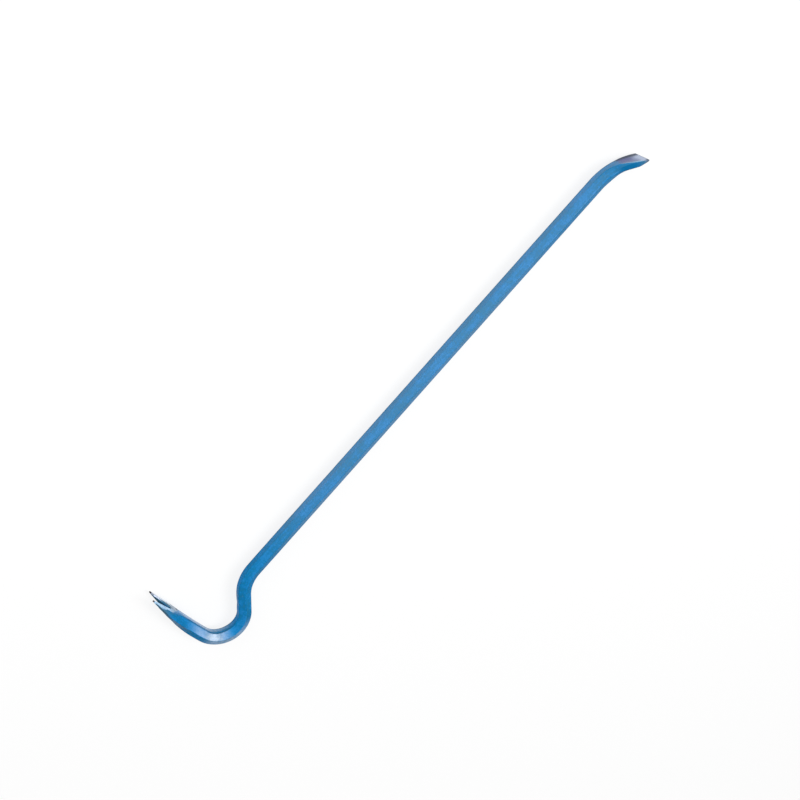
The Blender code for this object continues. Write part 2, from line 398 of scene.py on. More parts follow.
def slot_cutter():
    """The wedge for the slot, with its arrises broken where it leaves the two faces."""
    place, heading = walk(0.0)
    loops = []
    for level in SLOT_LEVELS:
        broken = SLOT_EDGE_BREAK * max(0.0, (abs(level) - SLOT_EDGE_LEVEL) / (1 - SLOT_EDGE_LEVEL))
        points = []
        for i, plain in enumerate(slot_outline(0.0)):
            across = level * claw_section(max(0.0, plain.x)).upper
            corner = slot_outline(drafted(across) + broken)[i]
            along = forwards(heading) * corner.x
            points.append(place + along + sideways(heading) * across + Vector((0, 0, corner.y)))
        loops.append(points)
    bm, _ = skin(loops)
    return add_object("slot_cutter", bm)


def forge():
    """The whole bar as one fine mesh."""
    marks = stations()
    bm, loops = skin([ring(mark) for mark in marks])
    bm.normal_update()
    for mark, loop in zip(marks, loops):
        for vertex in loop:
            vertex.co -= vertex.normal * dent(vertex.co, mark)
    bar = add_object("bar", bm)
    cutter = slot_cutter()
    boolean = bar.modifiers.new("slot", "BOOLEAN")
    boolean.operation = "DIFFERENCE"
    boolean.solver = "EXACT"
    boolean.object = cutter
    depsgraph = bpy.context.evaluated_depsgraph_get()
    whole = bar.data
    bar.data = bpy.data.meshes.new_from_object(bar.evaluated_get(depsgraph))
    bar.modifiers.clear()
    bpy.data.meshes.remove(whole)
    bpy.data.objects.remove(cutter, do_unlink=True)
    bar.data.name = "bar"
    bar.data.shade_smooth()
    bar.data.set_sharp_from_angle(angle=SHARP_ANGLE)
    return bar


# Where the paint ends, in millimetres back from the claw's points or from the chisel's edge
FORGED_END = 90.0
PAINT_FROM_INSIDE_FAR = 50.0
PAINT_FROM_INSIDE_NEAR = 36.0
PAINT_FROM_SIDE = 6.0
PAINT_FROM_OUTSIDE = 12.0
PAINT_FROM_CHISEL = 36.0
PAINT_BELOW_CHISEL = 3.0
WELL_BARE = 40.0
WELL_PAINTED = -40.0

# How far the near prong's bare streak runs over its shoulder, and how far it keeps from it further back.
# The pairs are (start, span) of a change: in millimetres, and for the chisel's top in how it faces
NEAR_SHOULDER = 0.5
NEAR_SHOULDER_ENDS = (18, 10)
NEAR_MARGIN = 0.22
NEAR_MARGIN_GROWS = (20, 12)
NEAR_SIDE = (-4, 14)
CHISEL_TOP = (0.75, 0.2)

# The slot's walls: how far back they run, how close a point lies to them, and how they face
WALL_LENGTH = 0.045
WALL_GAP = 0.0004
WALL_FACING = 0.8
SLOT_REACH = 0.060
SURVEY_STEP = 0.0005

# What the survey stores on each vertex: metres along and around the bar, millimetres from the nearest ridge
# and beyond the paint's edge, how squarely it faces the inside of the hook, its height as a share of the
# flat's and of the whole section's, its depth as a share of the section's, whether it is on the slot's
# walls, and metres from the slot
Spot = namedtuple("Spot", "along around ridge bare inward height edge depth wall slot")


def change(value, start, span):
    """0 before the start, 1 past the span, straight between."""
    return min(1.0, max(0.0, (value - start) / span))


def on_slot_wall(distance, across, up, inward):
    close = abs(slot_gap(distance, across, up)) < WALL_GAP
    return distance < WALL_LENGTH and close and abs(inward) < WALL_FACING


def bare_beyond(distance, across, up, inward, section):
    """Millimetres that a point lies beyond the paint's edge; positive where the steel is bare."""
    reach = (ROUTE_LENGTH - distance) * MM
    back = distance * MM
    if back < FORGED_END:
        if on_slot_wall(distance, across, up, inward):
            return WELL_BARE
        start = PAINT_FROM_SIDE
        over = (section.width - section.flat) * NEAR_SHOULDER * (1 - change(back, *NEAR_SHOULDER_ENDS))
        margin = section.flat * NEAR_MARGIN * change(back, *NEAR_MARGIN_GROWS)
        if -section.flat < up < section.flat + over - margin:
            near = change(up * MM, *NEAR_SIDE)
            inside = PAINT_FROM_INSIDE_FAR + (PAINT_FROM_INSIDE_NEAR - PAINT_FROM_INSIDE_FAR) * near
            start = inside if across > 0 else PAINT_FROM_OUTSIDE
        return start - back
    if reach < FORGED_END:
        above = change(inward, *CHISEL_TOP)
        return PAINT_BELOW_CHISEL + (PAINT_FROM_CHISEL - PAINT_BELOW_CHISEL) * above - reach
    return WELL_PAINTED


def spot_of(vertex, start, place, heading):
    """What the survey finds at a vertex, given the centre line's place and heading close to it."""
    step = vertex.co - place
    distance = min(ROUTE_LENGTH, max(0.0, start + step.dot(forwards(heading))))
    across = step.dot(sideways(heading))
    up = step.z
    inward = vertex.normal.dot(sideways(heading))
    section = section_at(distance)
    gap = min((Vector((across, up)) - corner).length for corner in corners_of(section))
    slot = min(SLOT_REACH, slot_gap(distance, across, up))
    if distance < SLOT_REACH:
        gap = min(gap, max(abs(slot), section.upper - abs(across)))
    return Spot(
        along=distance,
        around=math.atan2(up, across) * ACROSS_FLATS / 2,
        ridge=gap * MM,
        bare=bare_beyond(distance, across, up, inward, section),
        inward=inward,
        height=up / section.flat,
        edge=up / section.width,
        depth=across / section.upper,
        wall=float(on_slot_wall(distance, across, up, inward)),
        slot=slot,
    )


def survey(bar):
    """Store each vertex's spot on the mesh, for the finish to read."""
    samples = [i * SURVEY_STEP for i in range(int(ROUTE_LENGTH / SURVEY_STEP) + 2)]
    walked = [walk(min(sample, ROUTE_LENGTH)) for sample in samples]
    tree = kdtree.KDTree(len(samples))
    for i, (place, _) in enumerate(walked):
        tree.insert(place, i)
    tree.balance()
    spots = []
    for vertex in bar.data.vertices:
        level = Vector((vertex.co.x, vertex.co.y, CLAW_POINTS.z))
        _, i, _ = tree.find(level)
        spots.append(spot_of(vertex, samples[i], *walked[i]))
    for name, values in zip(Spot._fields, zip(*spots)):
        layer = bar.data.attributes.new(name, "FLOAT", "POINT")
        layer.data.foreach_set("value", values)


class Number:
    """A number that changes over a surface. Its operators add Math nodes."""

    def __init__(self, finish, socket):
        self.finish = finish
        self.socket = socket

    def math(self, operation, *others, first=None):
        values = (self, *others) if first is None else (first, self)
        node = self.finish.add("ShaderNodeMath", {"operation": operation}, dict(enumerate(values)))
        return Number(self.finish, node.outputs[0])

    def __add__(self, other):
        return self.math("ADD", other)

    __radd__ = __add__

    def __sub__(self, other):
        return self.math("SUBTRACT", other)

    def __rsub__(self, other):
        return self.math("SUBTRACT", first=other)

    def __mul__(self, other):
        return self.math("MULTIPLY", other)

    __rmul__ = __mul__

    def __truediv__(self, other):
        return self.math("DIVIDE", other)

    def __rtruediv__(self, other):
        return self.math("DIVIDE", first=other)

    def size(self):
        """The number without its sign."""
        return self.math("ABSOLUTE")

    def at_least(self, other):
        return self.math("MAXIMUM", other)

    def at_most(self, other):
        return self.math("MINIMUM", other)

    def step(self, low, high):
        """0 below low, 1 above high, smooth between."""
        node = self.finish.add(
            "ShaderNodeMapRange", {"interpolation_type": "SMOOTHSTEP"},
            {"Value": self, "From Min": low, "From Max": high},
        )
        return Number(self.finish, node.outputs[0])

    def fade(self, low, high):
        """1 below low, 0 above high, smooth between."""
        return 1 - self.step(low, high)

    def between(self, rise, fall):
        """1 from the end of the rise to the start of the fall, which are both (low, high)."""
        return self.step(*rise) * self.fade(*fall)


class Finish:
    """A material's nodes."""

    def __init__(self, name):
        self.material = bpy.data.materials.new(name)
        self.material.use_nodes = True
        self.tree = self.material.node_tree
        self.tree.nodes.clear()

    def add(self, kind, settings=(), inputs=()):
        """One node of a type, with its settings first and then its sockets' values or links."""
        node = self.tree.nodes.new(kind)
        for name, value in dict(settings).items():
            if name == "stops":
                for stop, (at, colour) in zip(self.stops_of(node, len(value)), value):
                    stop.position = at
                    stop.color = (*colour, 1.0)
            else:
                setattr(node, name, value)
        for name, value in dict(inputs).items():
            value = value.socket if isinstance(value, Number) else value
            if isinstance(value, bpy.types.NodeSocket):
                self.tree.links.new(value, node.inputs[name])
            else:
                node.inputs[name].default_value = value
        return node

    @staticmethod
    def stops_of(node, count):
        stops = node.color_ramp.elements
        while len(stops) < count:
            stops.new(1.0)
        return stops

    def place(self):
        return self.add("ShaderNodeTexCoord").outputs["Object"]

    def stored(self, name):
        """A number that the survey stored on the mesh."""
        return Number(self, self.add("ShaderNodeAttribute", {"attribute_name": name}).outputs["Fac"])

    def spread(self, x, y, z=0.0):
        """A texture place from three numbers."""
        return self.add("ShaderNodeCombineXYZ", {}, {0: x, 1: y, 2: z}).outputs[0]

    def speckle(self, vector, scale=1.0, detail=3.0, roughness=0.5):
        """Noise around 0.5 that repeats about scale times in a metre."""
        inputs = {"Vector": vector, "Scale": scale, "Detail": detail, "Roughness": roughness}
        return Number(self, self.add("ShaderNodeTexNoise", {}, inputs).outputs[0])

    def ramp(self, number, *stops):
        return self.add("ShaderNodeValToRGB", {"stops": stops}, {0: number}).outputs[0]

    def blend(self, factor, under, over):
        """Two colours mixed."""
        node = self.add(
            "ShaderNodeMix", {"data_type": "RGBA"},
            {0: factor, 6: self.colour(under), 7: self.colour(over)},
        )
        return node.outputs[2]

    @staticmethod
    def colour(value):
        return (*value, 1.0) if isinstance(value, tuple) else value

    def raise_by(self, height, distance, below=None):
        """A bump of a height between 0 and 1, over a distance in metres."""
        inputs = {"Height": height, "Distance": distance, "Strength": 1.0}
        if below is not None:
            inputs["Normal"] = below
        return self.add("ShaderNodeBump", {}, inputs).outputs[0]

    def finish_with(self, shader):
        self.add("ShaderNodeOutputMaterial", {}, {"Surface": shader.outputs[0]})
        return self.material


# Colours of the enamel and of the bare steel, and of the painted shade, sheen and highlights laid on them
TEAL_BLUE = (0.014, 0.208, 0.430)
BAR_BLUE = (0.006, 0.222, 0.520)
CLEAR_BLUE = (0.018, 0.262, 0.645)
# painted shade along the hook's near ridge and the bar's outlines
RIM_SHADE_NAVY = (0.012, 0.080, 0.150)
# painted shade: a darker blue laid on the outer faces and in the hook's inside
SHADE_BLUE = (0.006, 0.148, 0.290)
# painted shade: the chisel's sides drawn darker
BLADE_SHADE_BLUE = (0.003, 0.150, 0.365)
WORN_TEAL = (0.085, 0.210, 0.320)
# worn shoulder with painted shade along the near prong's outline
WORN_EDGE_SHADE = (0.045, 0.090, 0.120)
SCUFF_BLUE = (0.160, 0.360, 0.600)
SCALE_BROWN = (0.050, 0.042, 0.050)
# painted sheen: a pale reflection laid on the hook's inner flat
SHEEN_PALE = (0.740, 0.800, 0.880)
# painted light: a brighter blue on the hook's upper inner facets
HIGHLIGHT_BLUE = (0.030, 0.340, 0.800)
CLAW_STEEL = (0.380, 0.620, 0.880)
# painted highlight on the near prong's bare steel
CLAW_HIGHLIGHT = (0.500, 0.750, 0.980)
CLAW_PALE = (0.800, 0.860, 0.940)
CLAW_GREY = (0.280, 0.360, 0.450)
CLAW_TEAL = (0.040, 0.130, 0.190)
LIP_LILAC = (0.400, 0.440, 0.560)
WALL_TEAL = (0.040, 0.130, 0.200)
WALL_NAVY = (0.016, 0.070, 0.150)
GROUND_DEEP = (0.110, 0.125, 0.300)
GROUND_PALE = (0.420, 0.520, 0.680)
GROUND_BRIGHT = (0.560, 0.620, 0.780)
GROUND_BROWN = (0.042, 0.060, 0.100)
# painted highlight along the ground face's near edge
GROUND_GLINT = (0.360, 0.640, 0.820)

# Enamel's patterns: how often they repeat in a metre, along and around the bar where they run lengthwise
CLOUD_SCALE = 34
MOTTLE_SCALE = 150
GRAIN_SCALE = 420
STREAKS = (22, 380)
STREAK_SHARE = 0.3
PATTERN_SHARE = 0.5
SCRATCHES = (60, 2600)
SCRATCH_SHOWS = (0.66, 0.74)
SCUFF_PATCH_SCALE = 22
SCUFF_PATCH_SHOWS = (0.46, 0.60)
SCUFF_STRENGTH = 0.6
PAINT_STOPS = ((0.41, TEAL_BLUE), (0.50, BAR_BLUE), (0.59, CLEAR_BLUE))


def enamelled(finish, where, at, mottle):
    """The enamel's colour with its lengthwise scratches, and a mask of them."""
    cloud = finish.speckle(where, CLOUD_SCALE)
    grain = finish.speckle(where, GRAIN_SCALE, detail=2, roughness=0.6)
    tone = 0.5 + ((cloud - 0.5) + (mottle - 0.5) + (grain - 0.5)) * PATTERN_SHARE
    streaks_along, streaks_around = STREAKS
    streak = finish.speckle(finish.spread(at.along * streaks_along, at.around * streaks_around))
    paint = finish.ramp(tone * (1 - STREAK_SHARE) + streak * STREAK_SHARE, *PAINT_STOPS)
    scratches_along, scratches_around = SCRATCHES
    scratches = finish.spread(at.along * scratches_along, at.around * scratches_around)
    scratch = finish.speckle(scratches, detail=2).step(*SCRATCH_SHOWS)
    patch = finish.speckle(where, SCUFF_PATCH_SCALE, detail=2).step(*SCUFF_PATCH_SHOWS)
    scuffs = scratch * patch
    return finish.blend(scuffs * SCUFF_STRENGTH, paint, SCUFF_BLUE), scuffs


# The claw's steel, in metres from its points where nothing else is said
CLAW_CLOUD_SCALE = 160
CLAW_WANDER = 0.004
FAR_PRONG_HEIGHT = (-0.20, 0.05)
DARK_BAND_WIDENS = (0.012, 0.036)
DARK_BAND_LEAST = 0.0008
DARK_BAND_MORE = 0.009
DARK_BAND_EDGE = (0.25, 0.80)
# where the near prong gets a painted highlight: at its tip and in a streak before the slot's root
NEAR_TIP_HIGHLIGHT_TO = (0.016, 0.020)
NEAR_ROOT_HIGHLIGHT = ((0.022, 0.026), (0.030, 0.034))
NEAR_GREY_FROM = (0.032, 0.037)
NEAR_GREY_STRENGTH = 0.5
FAR_GREY_FROM = (0.035, 0.041)
FAR_GREY_WANDER = 1.5
FAR_GREY_STRENGTH = 0.8
WALL_NAVY_FROM = (0.014, 0.030)
LIP_SLOPE = 70
LIP_DEPTH = (-0.9, -0.4)
DARK_TIP_LENGTH = 0.0022
DARK_TIP_BLUR = 0.0005
DARK_CLOUDS = (0.62, 0.70)
DARK_CLOUD_STRENGTH = 0.6
RUST_SPOT_AT = 0.0488
RUST_SPOT_SIZE = (0.0006, 0.0022)
RUST_SPOT_HEIGHT = (-0.60, -0.35)
RUST_SPOT_STRENGTH = 0.8


def claw_steel(finish, where, at):
    """Bare steel on the claw: pale with a painted highlight on one prong, dark along the slot on the other.
    """
    cloud = finish.speckle(where, CLAW_CLOUD_SCALE, detail=4, roughness=0.6)
    wander = (cloud - 0.5) * CLAW_WANDER
    widening = at.along.step(*DARK_BAND_WIDENS)
    band = widening * DARK_BAND_MORE + DARK_BAND_LEAST
    outer = ((at.slot + wander * widening) / band).step(*DARK_BAND_EDGE)
    # painted highlight: the near prong drawn brighter at its tip and before the slot's root
    painted_highlight = at.along.fade(*NEAR_TIP_HIGHLIGHT_TO).at_least(at.along.between(*NEAR_ROOT_HIGHLIGHT))
    near_steel = finish.blend(painted_highlight, CLAW_STEEL, CLAW_HIGHLIGHT)
    near_grey = at.along.step(*NEAR_GREY_FROM)
    near_steel = finish.blend(near_grey * NEAR_GREY_STRENGTH, near_steel, CLAW_GREY)
    far = at.height.fade(*FAR_PRONG_HEIGHT)
    steel = finish.blend(far, near_steel, finish.blend(outer, CLAW_TEAL, CLAW_PALE))
    far_grey = (at.along + wander * FAR_GREY_WANDER).step(*FAR_GREY_FROM) * far
    steel = finish.blend(far_grey * FAR_GREY_STRENGTH, steel, CLAW_GREY)
    walls = finish.blend(at.along.step(*WALL_NAVY_FROM), WALL_TEAL, WALL_NAVY)
    lip = (at.depth - at.along * LIP_SLOPE).step(*LIP_DEPTH)
    steel = finish.blend(at.wall, steel, finish.blend(lip, walls, LIP_LILAC))
    tips = (DARK_TIP_LENGTH - at.along + wander).step(-DARK_TIP_BLUR, DARK_TIP_BLUR)
    clouds = cloud.step(*DARK_CLOUDS) * DARK_CLOUD_STRENGTH * (1 - at.wall)
    rust = (at.along - RUST_SPOT_AT).size().fade(*RUST_SPOT_SIZE) * at.height.fade(*RUST_SPOT_HEIGHT)
    dark = tips.at_least(clouds).at_least(rust * RUST_SPOT_STRENGTH)
    return finish.blend(dark, steel, SCALE_BROWN)


# The chisel's steel: wheel marks along and across it, and reaches in metres from its edge
FANNED_MARKS = (30, 6)
FANNED_SHARE = 1.7
FINE_MARKS = (90, 26)
FINE_SHARE = 0.6
GROUND_PALE_TO = (0.0, 0.023)
GROUND_BRIGHT_TO = (0.004, 0.014)
GROUND_BRIGHT_STRENGTH = 0.6
GROUND_FACING = (0.5, 0.8)
# where the painted highlight lies along the ground face's near edge
GLINT_HEIGHT = (0.76, 0.92)
GLINT_FROM = (0.006, 0.012)
GLINT_STRENGTH = 0.8
BROWN_EDGE_HEIGHT = (0.62, 0.98)
BROWN_EDGE_FROM = (-0.004, 0.002)
BROWN_EDGE_FAN = 0.6
CORNER_HEIGHT = (0.82, 0.98)
CORNER_TO = (0.0015, 0.006)
CORNER_FAN = 0.2
ARRIS_TO = (0.0004, 0.0016)
ARRIS_STRENGTH = 0.6
BROWN_STRENGTH = 0.9


def ground_steel(finish, at, reach):
    """Bare steel on the ground face: fanned wheel marks, pale at the edge, a painted highlight along the
    near side, brown along the far side.
    """
    fan_along, fan_up = FANNED_MARKS
    fan = finish.speckle(finish.spread(at.along * fan_along, at.height * fan_up), detail=4, roughness=0.6)
    fine_along, fine_up = FINE_MARKS
    fine = finish.speckle(finish.spread(at.along * fine_along, at.height * fine_up))
    paleness = reach.fade(*GROUND_PALE_TO) + (fan - 0.5) * FANNED_SHARE + (fine - 0.5) * FINE_SHARE
    steel = finish.blend(paleness.at_least(0.0).at_most(1.0), GROUND_DEEP, GROUND_PALE)
    steel = finish.blend(reach.fade(*GROUND_BRIGHT_TO) * GROUND_BRIGHT_STRENGTH, steel, GROUND_BRIGHT)
    on_face = at.inward.step(*GROUND_FACING)
    # painted highlight: a pale line along the ground face's near edge
    glint = at.height.step(*GLINT_HEIGHT) * reach.step(*GLINT_FROM) * on_face
    steel = finish.blend(glint * GLINT_STRENGTH, steel, GROUND_GLINT)
    far_edge = (fan * BROWN_EDGE_FAN - at.height).step(*BROWN_EDGE_HEIGHT) * reach.step(*BROWN_EDGE_FROM)
    corner = (at.height + fan * CORNER_FAN).step(*CORNER_HEIGHT) * reach.fade(*CORNER_TO)
    arris = reach.fade(*ARRIS_TO) * ARRIS_STRENGTH
    brown = far_edge.at_least(corner).at_least(1 - on_face).at_least(arris)
    return finish.blend(brown * BROWN_STRENGTH, steel, GROUND_BROWN)


# How a face of the bar faces the inside of the hook, from -1 to 1
FLAT_INSIDE = (0.80, 0.97)
INNER_FACES = (-0.10, 0.30)
OUTER_FACES = (-0.50, -0.15)
BLADE_SIDE_FACES = (0.45, 0.75)

# Stretches of the bar, in metres from the claw's points: a rise and then a fall, or one of them
NECK = ((0.185, 0.200), (0.222, 0.238))
# where the hook's inner flat is drawn darker, as painted shade
HOOK_SHADE = ((0.105, 0.125), (0.150, 0.175))
# where the painted sheen lies on the hook's inner flat
HOOK_SHEEN = ((0.048, 0.066), (0.106, 0.124))
# where the hook's upper facets are drawn lighter as painted light, short of the glossy core
HOOK_PAINTED_LIGHT = ((0.060, 0.088), (0.148, 0.164))
HOOK_CORE = ((0.100, 0.114), (0.130, 0.140))
# where painted shade runs along the hook's near ridge
HOOK_RIDGE_SHADE = ((0.050, 0.075), (0.145, 0.175))
HOOK_GLOSS = ((0.062, 0.100), (0.136, 0.158))
HOOK_GLOSS_DIPS = (0.112, 0.126)
CROWN_GLOSS = ((0.100, 0.110), (0.128, 0.136))
OUTER_GLOSS = ((0.102, 0.130), (0.160, 0.188))
FLAT_GLOSS = ((0.036, 0.044), (0.125, 0.180))
SHANK_GLOSS_FROM = (0.240, 0.400)
SHANK_DULL_FROM = (0.74, 0.90)
FAR_RIM_FROM = (0.110, 0.140)
SHOULDER_TO = (0.022, 0.040)
CLAW_END = (0.06, 0.09)

# Reaches from the chisel's edge
CHISEL_END = (0.06, 0.09)
BLADE_SIDE_TO = (0.036, 0.056)
BLADE_WEAR_TO = (0.004, 0.022)

# How strong the gloss is: in the hook, and on the shank's faces
BLOTCH_SCALE = 190
BLOTCH_SHOWS = (0.38, 0.58)
BLOTCH_GLOSS = 0.40
EVEN_GLOSS = 0.64
CROWN_MORE = 0.12
HOOK_DIP = 0.12
OUTER_STRENGTH = 0.85
FLAT_GLOSS_HEIGHT = (-0.5, 0.9)
SHANK_GLOSS = 0.20
SHANK_FLAT_MORE = 0.14
SHANK_OUTER_MORE = 0.13
SHANK_OUTER_DULL = 0.20


def glazed(finish, where, at, flat_in, facing_in):
    """Where the enamel keeps its gloss, most in the hook and some on the shank, and the hook's own mask."""
    blotch = finish.speckle(where, BLOTCH_SCALE, detail=4, roughness=0.6).step(*BLOTCH_SHOWS)
    patchy = blotch * BLOTCH_GLOSS + at.along.between(*CROWN_GLOSS) * CROWN_MORE + EVEN_GLOSS
    facing_out = 1 - facing_in
    hook = at.along.between(*HOOK_GLOSS) * (1 - at.along.step(*HOOK_GLOSS_DIPS) * HOOK_DIP)
    outer_hook = at.along.between(*OUTER_GLOSS) * facing_out * OUTER_STRENGTH
    band = at.along.between(*FLAT_GLOSS) * at.height.fade(*FLAT_GLOSS_HEIGHT) * flat_in
    glaze = hook * facing_in * (1 - flat_in) + outer_hook + band
    outer = SHANK_OUTER_MORE - at.along.step(*SHANK_DULL_FROM) * SHANK_OUTER_DULL
    faces = flat_in * SHANK_FLAT_MORE + facing_out * outer + SHANK_GLOSS
    return (glaze * patchy + at.along.step(*SHANK_GLOSS_FROM) * faces).at_most(1.0), hook


# The painted rim shade: how many millimetres it spreads from a ridge, which face it lies on, and above or
# below what share of the flat's height
RIDGE_SHADE_SPREAD = (0.3, 1.5)
RIDGE_SHADE_FACING = (0.55, 0.66)
FAR_RIM_SPREAD = (0.6, 4.0)
FAR_RIM_FACING = (0.45, 0.60)
FAR_RIM_BELOW = (-0.8, -0.5)
NEAR_RIM_SPREAD = (0.6, 3.0)
NEAR_RIM_FACING = (-0.75, -0.60)
NEAR_RIM_ABOVE = (0.5, 0.8)


def painted_rim_shade(at):
    """Painted shade: dark lines along the hook's near ridge and the bar's two outlines."""
    ridge_shade = at.ridge.fade(*RIDGE_SHADE_SPREAD) * at.inward.step(*RIDGE_SHADE_FACING) * at.height.step(*NEAR_RIM_ABOVE)
    ridge_shade = ridge_shade * at.along.between(*HOOK_RIDGE_SHADE)
    far_rim = at.ridge.fade(*FAR_RIM_SPREAD) * at.inward.step(*FAR_RIM_FACING)
    far_rim = far_rim * at.height.fade(*FAR_RIM_BELOW) * at.along.step(*FAR_RIM_FROM)
    near_rim = at.ridge.fade(*NEAR_RIM_SPREAD) * at.inward.fade(*NEAR_RIM_FACING)
    near_rim = near_rim * at.height.step(*NEAR_RIM_ABOVE)
    return ridge_shade.at_least(far_rim).at_least(near_rim)


# Heights of the painted sheen, of the worn shoulders and of their painted edge shade, as shares of the
# flat's and of the whole section's
SHEEN_HEIGHT = (0.0, 0.9)
SHOULDER_HEIGHT = (0.98, 1.04)
SHOULDER_EDGE = (0.94, 0.99)


def tinted(finish, at, reach, paint, flat_in, facing_in, blade_side, rim_shade):
    """The enamel's colour with painted shade and light laid on by face and place: darker on the inner flats,
    the outer faces, the hook's inside, the chisel's sides and along the rims, with a painted sheen and
    painted light in the hook, and wear on the chisel's sides and the claw's shoulders.
    """
    # painted shade: the outer faces drawn darker, except round the neck
    shaded_outside = at.inward.fade(*OUTER_FACES) * (1 - at.along.between(*NECK))
    # painted sheen: the hook's inner flat drawn paler, most towards its far side
    painted_sheen = flat_in * at.along.between(*HOOK_SHEEN) * at.height.fade(*SHEEN_HEIGHT)
    # painted light: the hook's upper inner facets drawn brighter, except at the core of the highlight
    painted_light = at.along.between(*HOOK_PAINTED_LIGHT) * facing_in * (1 - flat_in) * (1 - at.along.between(*HOOK_CORE))
    shoulder = at.height.step(*SHOULDER_HEIGHT) * at.along.fade(*SHOULDER_TO)
    tints = [
        # painted shade: the inner flats drawn a little darker and greener
        (flat_in, 0.2, TEAL_BLUE),
        # painted shade on the outer faces
        (shaded_outside, 0.35, SHADE_BLUE),
        # painted shade in the hook's inside
        (flat_in * at.along.between(*HOOK_SHADE), 0.45, SHADE_BLUE),
        # painted shade on the chisel's sides
        (blade_side, 0.85, BLADE_SHADE_BLUE),
        (blade_side * reach.fade(*BLADE_WEAR_TO), 0.6, WORN_TEAL),
        # painted sheen on the hook's inner flat
        (painted_sheen, 0.35, SHEEN_PALE),
        # painted light on the hook's upper inner facets
        (painted_light, 0.6, HIGHLIGHT_BLUE),
        # painted shade along ridges and outlines
        (rim_shade, 0.65, RIM_SHADE_NAVY),
        (shoulder, 0.75, WORN_TEAL),
        # painted shade along the near prong's outline, on its worn shoulder
        (shoulder * at.edge.step(*SHOULDER_EDGE), 0.8, WORN_EDGE_SHADE),
    ]
    for mask, strength, colour in tints:
        paint = finish.blend(mask * strength, paint, colour)
    return paint


# The paint's ragged edge, in millimetres, and its nicks and chips
CHIPPED_SCALE = 240
CHIPPED_REACH = 16
FEATHERS = (50, 16)
FEATHERED_REACH = 20
EDGE_BLUR = 0.6
FEATHER_BLUR = 2.4
NICK_SCALE = 520
NICK_SHOWS = (0.60, 0.63)
NICK_RIDGE_PULL = 0.30
NICK_RIDGE_SPREAD = 1.5
NICK_CLAW_MORE = 0.05
CHIP_SCALE = 170
CHIP_SHOWS = (0.715, 0.735)
CHIP_CLAW_MORE = 0.035


def bared(finish, where, at, near_claw, near_chisel):
    """Where steel shows: past the paint's edge, in nicks on the ridges, and in a few chips."""
    chipped = (finish.speckle(where, CHIPPED_SCALE, detail=5, roughness=0.65) - 0.5) * CHIPPED_REACH
    feathers_along, feathers_up = FEATHERS
    feathers = finish.spread(at.along * feathers_along, at.height * feathers_up)
    feathered = (finish.speckle(feathers, detail=4) - 0.5) * FEATHERED_REACH
    ragged = chipped + (feathered - chipped) * near_chisel
    blur = EDGE_BLUR + FEATHER_BLUR * near_chisel
    past_edge = (at.bare + ragged).step(0 - blur, blur)
    nick = finish.speckle(where, NICK_SCALE, roughness=0.6)
    off_ridge = at.ridge.at_most(NICK_RIDGE_SPREAD) * NICK_RIDGE_PULL
    nicks = (nick - off_ridge + near_claw * NICK_CLAW_MORE).step(*NICK_SHOWS)
    chip = finish.speckle(where, CHIP_SCALE, detail=5, roughness=0.62)
    chips = (chip + near_claw * CHIP_CLAW_MORE).step(*CHIP_SHOWS)
    return past_edge.at_least(nicks).at_least(chips)


# The skin: bumps in metres, and how rough and glossy the paint and the steel are
PEEL_SCALE = 700
PEEL_HEIGHT = 0.00006
LUMP_SCALE = 130
LUMP_HEIGHT = 0.00035
HOOK_LUMPS_MORE = 3.0
PAINT_THICKNESS = 0.00012
PAINT_ROUGHNESS = 0.22
MOTTLE_ROUGHNESS = 0.10
SCUFF_ROUGHNESS = 0.2
STEEL_ROUGHNESS = 0.42
STEEL_METAL = 0.8
UNDER_COAT_GLOSS = 0.02
COAT_ROUGHNESS = 0.40
COAT_IOR = 2.7
COAT_LOST_ON_RIMS = 0.6
RIDGE_WEAR = (0.3, 0.9)


